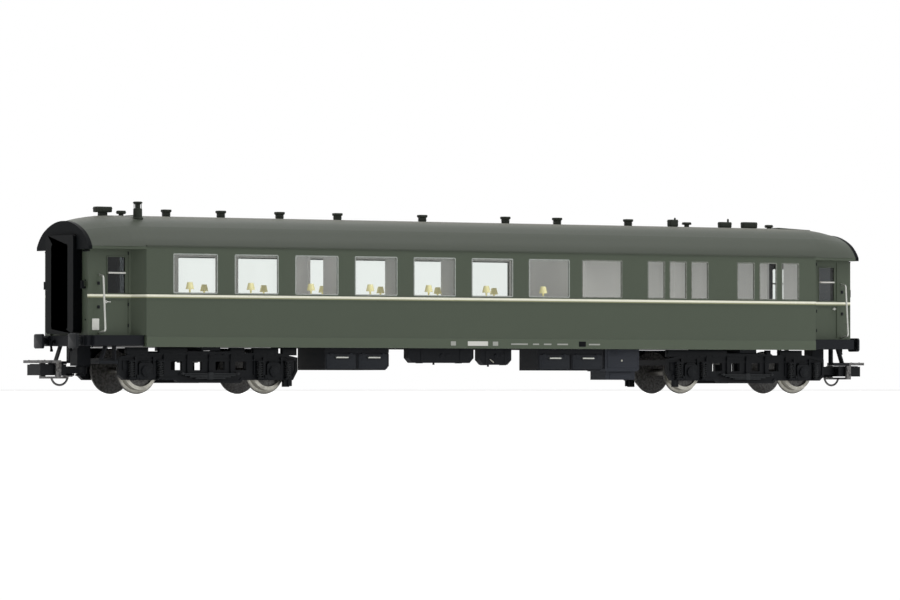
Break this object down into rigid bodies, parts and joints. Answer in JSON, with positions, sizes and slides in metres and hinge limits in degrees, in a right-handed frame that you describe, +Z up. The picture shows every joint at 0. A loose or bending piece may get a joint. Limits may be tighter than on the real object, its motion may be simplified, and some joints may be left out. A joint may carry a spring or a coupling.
{
  "type": "H0 scale model railway dining coach",
  "caption": "Scale model of an express dining coach: hollow windowed body with narrowed ends, arched roof, swivelling bogies, rolling wheelsets, gangways, loop couplers.",
  "frame": {"origin": "centre of the coach in plan, on the plane that the wheel flanges stand on", "axes": "+X along the coach, +Y across it, +Z up"},
  "size_m": [0.2844, 0.0342, 0.0538],
  "materials": {
    "body_paint": "satin dark olive green",
    "roof_paint": "matt grey green",
    "end_black": "matt black",
    "bellows_black": "matt black, faint sheen",
    "underframe_black": "matt blue black",
    "bogie_black": "matt blue black",
    "clear_glazing": "clear moulded plastic",
    "frame_silver": "printed satin silver",
    "bar_white": "white",
    "wheel_steel": "turned nickel finish, dark web",
    "axle_steel": "turned steel",
    "screw_steel": "dark screw head",
    "interior_grey": "matt grey",
    "seat_brown": "matt brown",
    "table_wood": "matt brown",
    "lamp_cream": "cream",
    "fitting_dark": "matt dark grey green",
    "rail_silver": "satin wire",
    "coupler_black": "matt black",
    "bail_grey": "dark blackened steel",
    "box_grey": "matt dark grey"
  },
  "bodies": {
    "coach": {"body_shell": "body_paint", "roof": "roof_paint", "roof_end_panels": "end_black", "gangway_bellows": "bellows_black", "gangway_doors": "end_black", "lamp_brackets": "end_black", "glazing": "clear_glazing", "window_frames": "frame_silver", "door_glass": "clear_glazing", "door_bars": "bar_white", "underframe": "underframe_black", "pivot_screws": "screw_steel", "buffer_beams": "underframe_black", "buffers": "underframe_black", "interior_tray": "interior_grey", "chairs": "seat_brown", "tables": "table_wood", "table_lamps": "lamp_cream", "roof_ventilators": "fitting_dark", "roof_boxes": "fitting_dark", "stove_chimney": "fitting_dark", "roof_plate": "roof_paint", "battery_boxes": "underframe_black", "box_handles": "rail_silver", "tanks": "underframe_black", "equipment_box": "box_grey", "entry_steps": "underframe_black", "grab_rails": "rail_silver", "brake_hoses": "underframe_black"},
    "bogie_a": {"bogie_a_frame": "bogie_black", "bogie_a_springs": "bogie_black", "bogie_a_brakes": "bogie_black"},
    "bogie_b": {"bogie_b_frame": "bogie_black", "bogie_b_springs": "bogie_black", "bogie_b_brakes": "bogie_black"},
    "wheelset_1": {"axle_1": "axle_steel", "wheels_1": "wheel_steel"},
    "wheelset_2": {"axle_2": "axle_steel", "wheels_2": "wheel_steel"},
    "wheelset_3": {"axle_3": "axle_steel", "wheels_3": "wheel_steel"},
    "wheelset_4": {"axle_4": "axle_steel", "wheels_4": "wheel_steel"},
    "coupler_a": {"coupler_a_head": "coupler_black"},
    "bail_a": {"coupler_a_bail": "bail_grey"},
    "coupler_b": {"coupler_b_head": "coupler_black"},
    "bail_b": {"coupler_b_bail": "bail_grey"}
  },
  "joints": [
    {"name": "bogie_a_swivel", "type": "hinge", "parent": "coach", "child": "bogie_a", "pos_m": [-0.0926, 0, 0.011], "axis": [0, 0, 1], "range_deg": [-15, 15]},
    {"name": "bogie_b_swivel", "type": "hinge", "parent": "coach", "child": "bogie_b", "pos_m": [0.0926, 0, 0.011], "axis": [0, 0, 1], "range_deg": [-15, 15]},
    {"name": "wheelset_1_roll", "type": "hinge", "parent": "bogie_a", "child": "wheelset_1", "pos_m": [-0.11325, 0, 0.0064], "axis": [0, 1, 0], "continuous": true},
    {"name": "wheelset_2_roll", "type": "hinge", "parent": "bogie_a", "child": "wheelset_2", "pos_m": [-0.07195, 0, 0.0064], "axis": [0, 1, 0], "continuous": true},
    {"name": "wheelset_3_roll", "type": "hinge", "parent": "bogie_b", "child": "wheelset_3", "pos_m": [0.07195, 0, 0.0064], "axis": [0, 1, 0], "continuous": true},
    {"name": "wheelset_4_roll", "type": "hinge", "parent": "bogie_b", "child": "wheelset_4", "pos_m": [0.11325, 0, 0.0064], "axis": [0, 1, 0], "continuous": true},
    {"name": "coupler_a_swing", "type": "hinge", "parent": "coach", "child": "coupler_a", "pos_m": [-0.1269, 0, 0.0067], "axis": [0, 0, 1], "range_deg": [-12, 12]},
    {"name": "bail_a_lift", "type": "hinge", "parent": "coupler_a", "child": "bail_a", "pos_m": [-0.1364, 0, 0.0067], "axis": [0, 1, 0], "range_deg": [0, 12]},
    {"name": "coupler_b_swing", "type": "hinge", "parent": "coach", "child": "coupler_b", "pos_m": [0.1269, 0, 0.0067], "axis": [0, 0, 1], "range_deg": [-12, 12]},
    {"name": "bail_b_lift", "type": "hinge", "parent": "coupler_b", "child": "bail_b", "pos_m": [0.1364, 0, 0.0067], "axis": [0, -1, 0], "range_deg": [0, 12]}
  ]
}
